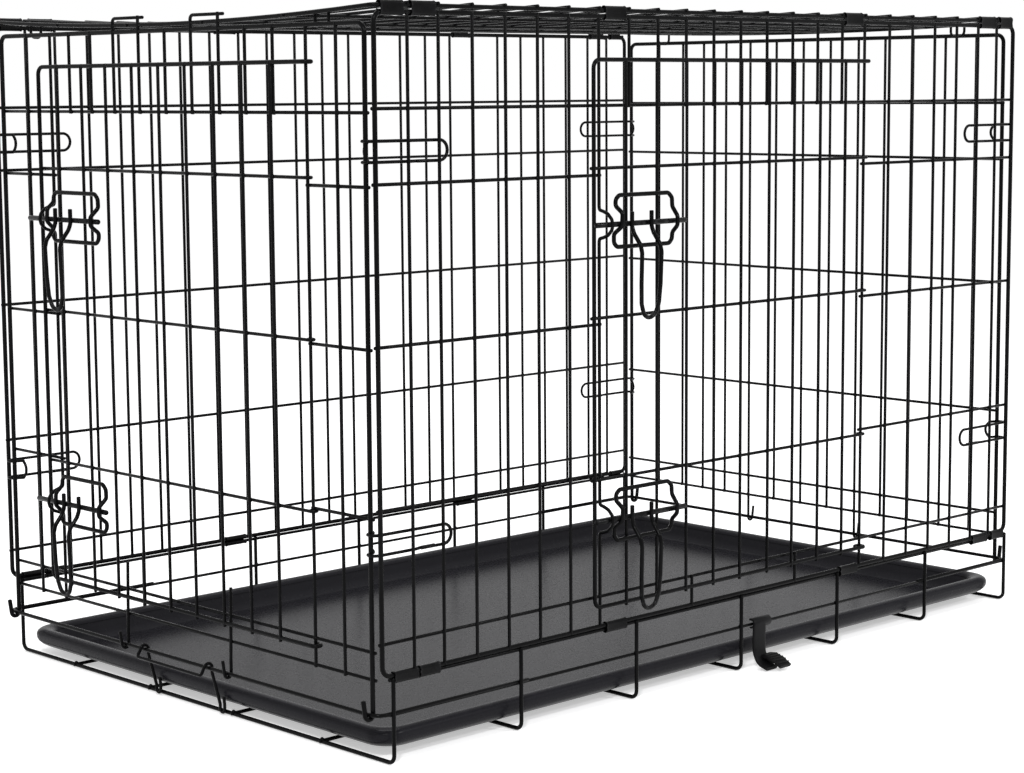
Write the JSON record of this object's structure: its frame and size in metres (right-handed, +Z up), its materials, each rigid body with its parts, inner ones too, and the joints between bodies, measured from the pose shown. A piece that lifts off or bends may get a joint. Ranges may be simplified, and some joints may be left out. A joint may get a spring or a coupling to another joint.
{
  "type": "folding wire dog crate",
  "caption": "Folding wire dog crate with a door on one side and one end, slide-bolt latches, a moulded floor tray and fold-in end panels.",
  "frame": {"origin": "on the floor, under the middle floor wire, on the line midway between the two side panels", "axes": "+X along the crate towards the end without a door, +Y towards the plain side panel, +Z up"},
  "size_m": [0.9575, 0.6174, 0.6464],
  "materials": {
    "crate_wire": "black powder coat, satin",
    "latch_wire": "black powder coat, satin",
    "hinge_clip": "black enamel, semi-gloss",
    "tray_plastic": "moulded, fine grain",
    "clip_plastic": "moulded, semi-matt"
  },
  "bodies": {
    "frame": {"base_frame": "crate_wire", "side_panel_near": "crate_wire", "side_panel_far": "crate_wire", "top_panel": "crate_wire", "side_keeper": "crate_wire", "hook_lower_back_far": "crate_wire", "hook_lower_back_near": "crate_wire", "hook_lower_front_far": "crate_wire", "hook_lower_front_near": "crate_wire", "hook_upper_back_far": "crate_wire", "hook_upper_back_near": "crate_wire", "hook_upper_front_far": "crate_wire", "hook_upper_front_near": "crate_wire", "clip_foot_far_1": "hinge_clip", "clip_foot_far_2": "hinge_clip", "clip_foot_far_3": "hinge_clip", "clip_foot_far_4": "hinge_clip", "clip_foot_far_5": "hinge_clip", "clip_foot_far_6": "hinge_clip", "clip_foot_near_1": "hinge_clip", "clip_foot_near_2": "hinge_clip", "clip_foot_near_3": "hinge_clip", "clip_foot_near_4": "hinge_clip", "clip_foot_near_5": "hinge_clip", "clip_foot_near_6": "hinge_clip", "clip_top_far_1": "hinge_clip", "clip_top_far_2": "hinge_clip", "clip_top_far_3": "hinge_clip", "clip_top_far_4": "hinge_clip", "clip_top_far_5": "hinge_clip", "clip_top_far_6": "hinge_clip", "clip_top_near_1": "hinge_clip", "clip_top_near_2": "hinge_clip", "clip_top_near_3": "hinge_clip", "clip_top_near_4": "hinge_clip", "clip_top_near_5": "hinge_clip", "clip_top_near_6": "hinge_clip"},
    "end_front": {"end_panel_front": "crate_wire", "end_keeper": "crate_wire"},
    "end_back": {"end_panel_back": "crate_wire"},
    "side_door": {"side_door": "crate_wire", "bracket_side_upper": "latch_wire", "bracket_side_lower": "latch_wire"},
    "end_door": {"end_door": "crate_wire", "bracket_end_upper": "latch_wire", "bracket_end_lower": "latch_wire"},
    "tray": {"tray": "tray_plastic"},
    "tray_latch": {"tray_latch": "latch_wire"},
    "tray_clip": {"tray_clip": "clip_plastic"},
    "bolt_side_upper": {"bolt_side_upper": "latch_wire"},
    "handle_side_upper": {"handle_side_upper": "latch_wire"},
    "bolt_side_lower": {"bolt_side_lower": "latch_wire"},
    "handle_side_lower": {"handle_side_lower": "latch_wire"},
    "bolt_end_upper": {"bolt_end_upper": "latch_wire"},
    "handle_end_upper": {"handle_end_upper": "latch_wire"},
    "bolt_end_lower": {"bolt_end_lower": "latch_wire"},
    "handle_end_lower": {"handle_end_lower": "latch_wire"}
  },
  "joints": [
    {"name": "side_door_hinge", "type": "hinge", "parent": "frame", "child": "side_door", "pos_m": [0.1881, -0.2915, 0.35], "axis": [0, 0, 1], "range_deg": [0, 167]},
    {"name": "end_front_fold", "type": "hinge", "parent": "frame", "child": "end_front", "pos_m": [-0.4695, 0, 0.0455], "axis": [0, -1, 0], "range_deg": [-90, 0]},
    {"name": "end_back_fold", "type": "hinge", "parent": "frame", "child": "end_back", "pos_m": [0.4555, 0, 0.0455], "axis": [0, 1, 0], "range_deg": [-80, 0]},
    {"name": "end_door_hinge", "type": "hinge", "parent": "end_front", "child": "end_door", "pos_m": [-0.4642, -0.2024, 0.35], "axis": [0, 0, 1], "range_deg": [0, 167]},
    {"name": "bolt_slide_side_upper", "type": "slide", "parent": "side_door", "child": "bolt_side_upper", "axis": [1, 0, 0], "range_m": [0, 0.02]},
    {"name": "handle_swing_side_upper", "type": "hinge", "parent": "bolt_side_upper", "child": "handle_side_upper", "pos_m": [-0.1595, -0.3031, 0.451], "axis": [1, 0, 0], "range_deg": [-135, 0]},
    {"name": "bolt_slide_side_lower", "type": "slide", "parent": "side_door", "child": "bolt_side_lower", "axis": [1, 0, 0], "range_m": [0, 0.02]},
    {"name": "handle_swing_side_lower", "type": "hinge", "parent": "bolt_side_lower", "child": "handle_side_lower", "pos_m": [-0.1595, -0.3031, 0.18], "axis": [1, 0, 0], "range_deg": [-135, 0]},
    {"name": "bolt_slide_end_upper", "type": "slide", "parent": "end_door", "child": "bolt_end_upper", "axis": [0, -1, 0], "range_m": [0, 0.025]},
    {"name": "handle_swing_end_upper", "type": "hinge", "parent": "bolt_end_upper", "child": "handle_end_upper", "pos_m": [-0.4758, 0.1535, 0.451], "axis": [0, -1, 0], "range_deg": [-135, 0]},
    {"name": "bolt_slide_end_lower", "type": "slide", "parent": "end_door", "child": "bolt_end_lower", "axis": [0, -1, 0], "range_m": [0, 0.025]},
    {"name": "handle_swing_end_lower", "type": "hinge", "parent": "bolt_end_lower", "child": "handle_end_lower", "pos_m": [-0.4758, 0.1535, 0.172], "axis": [0, -1, 0], "range_deg": [-135, 0]},
    {"name": "tray_slide", "type": "slide", "parent": "frame", "child": "tray", "axis": [1, 0, 0], "range_m": [0, 0.85]},
    {"name": "tray_latch_lift", "type": "slide", "parent": "frame", "child": "tray_latch", "axis": [0, 0, 1], "range_m": [0, 0.006]},
    {"name": "tray_clip_swing", "type": "hinge", "parent": "frame", "child": "tray_clip", "pos_m": [0.0285, -0.2915, 0.0455], "axis": [-1, 0, 0], "range_deg": [0, 100]}
  ]
}
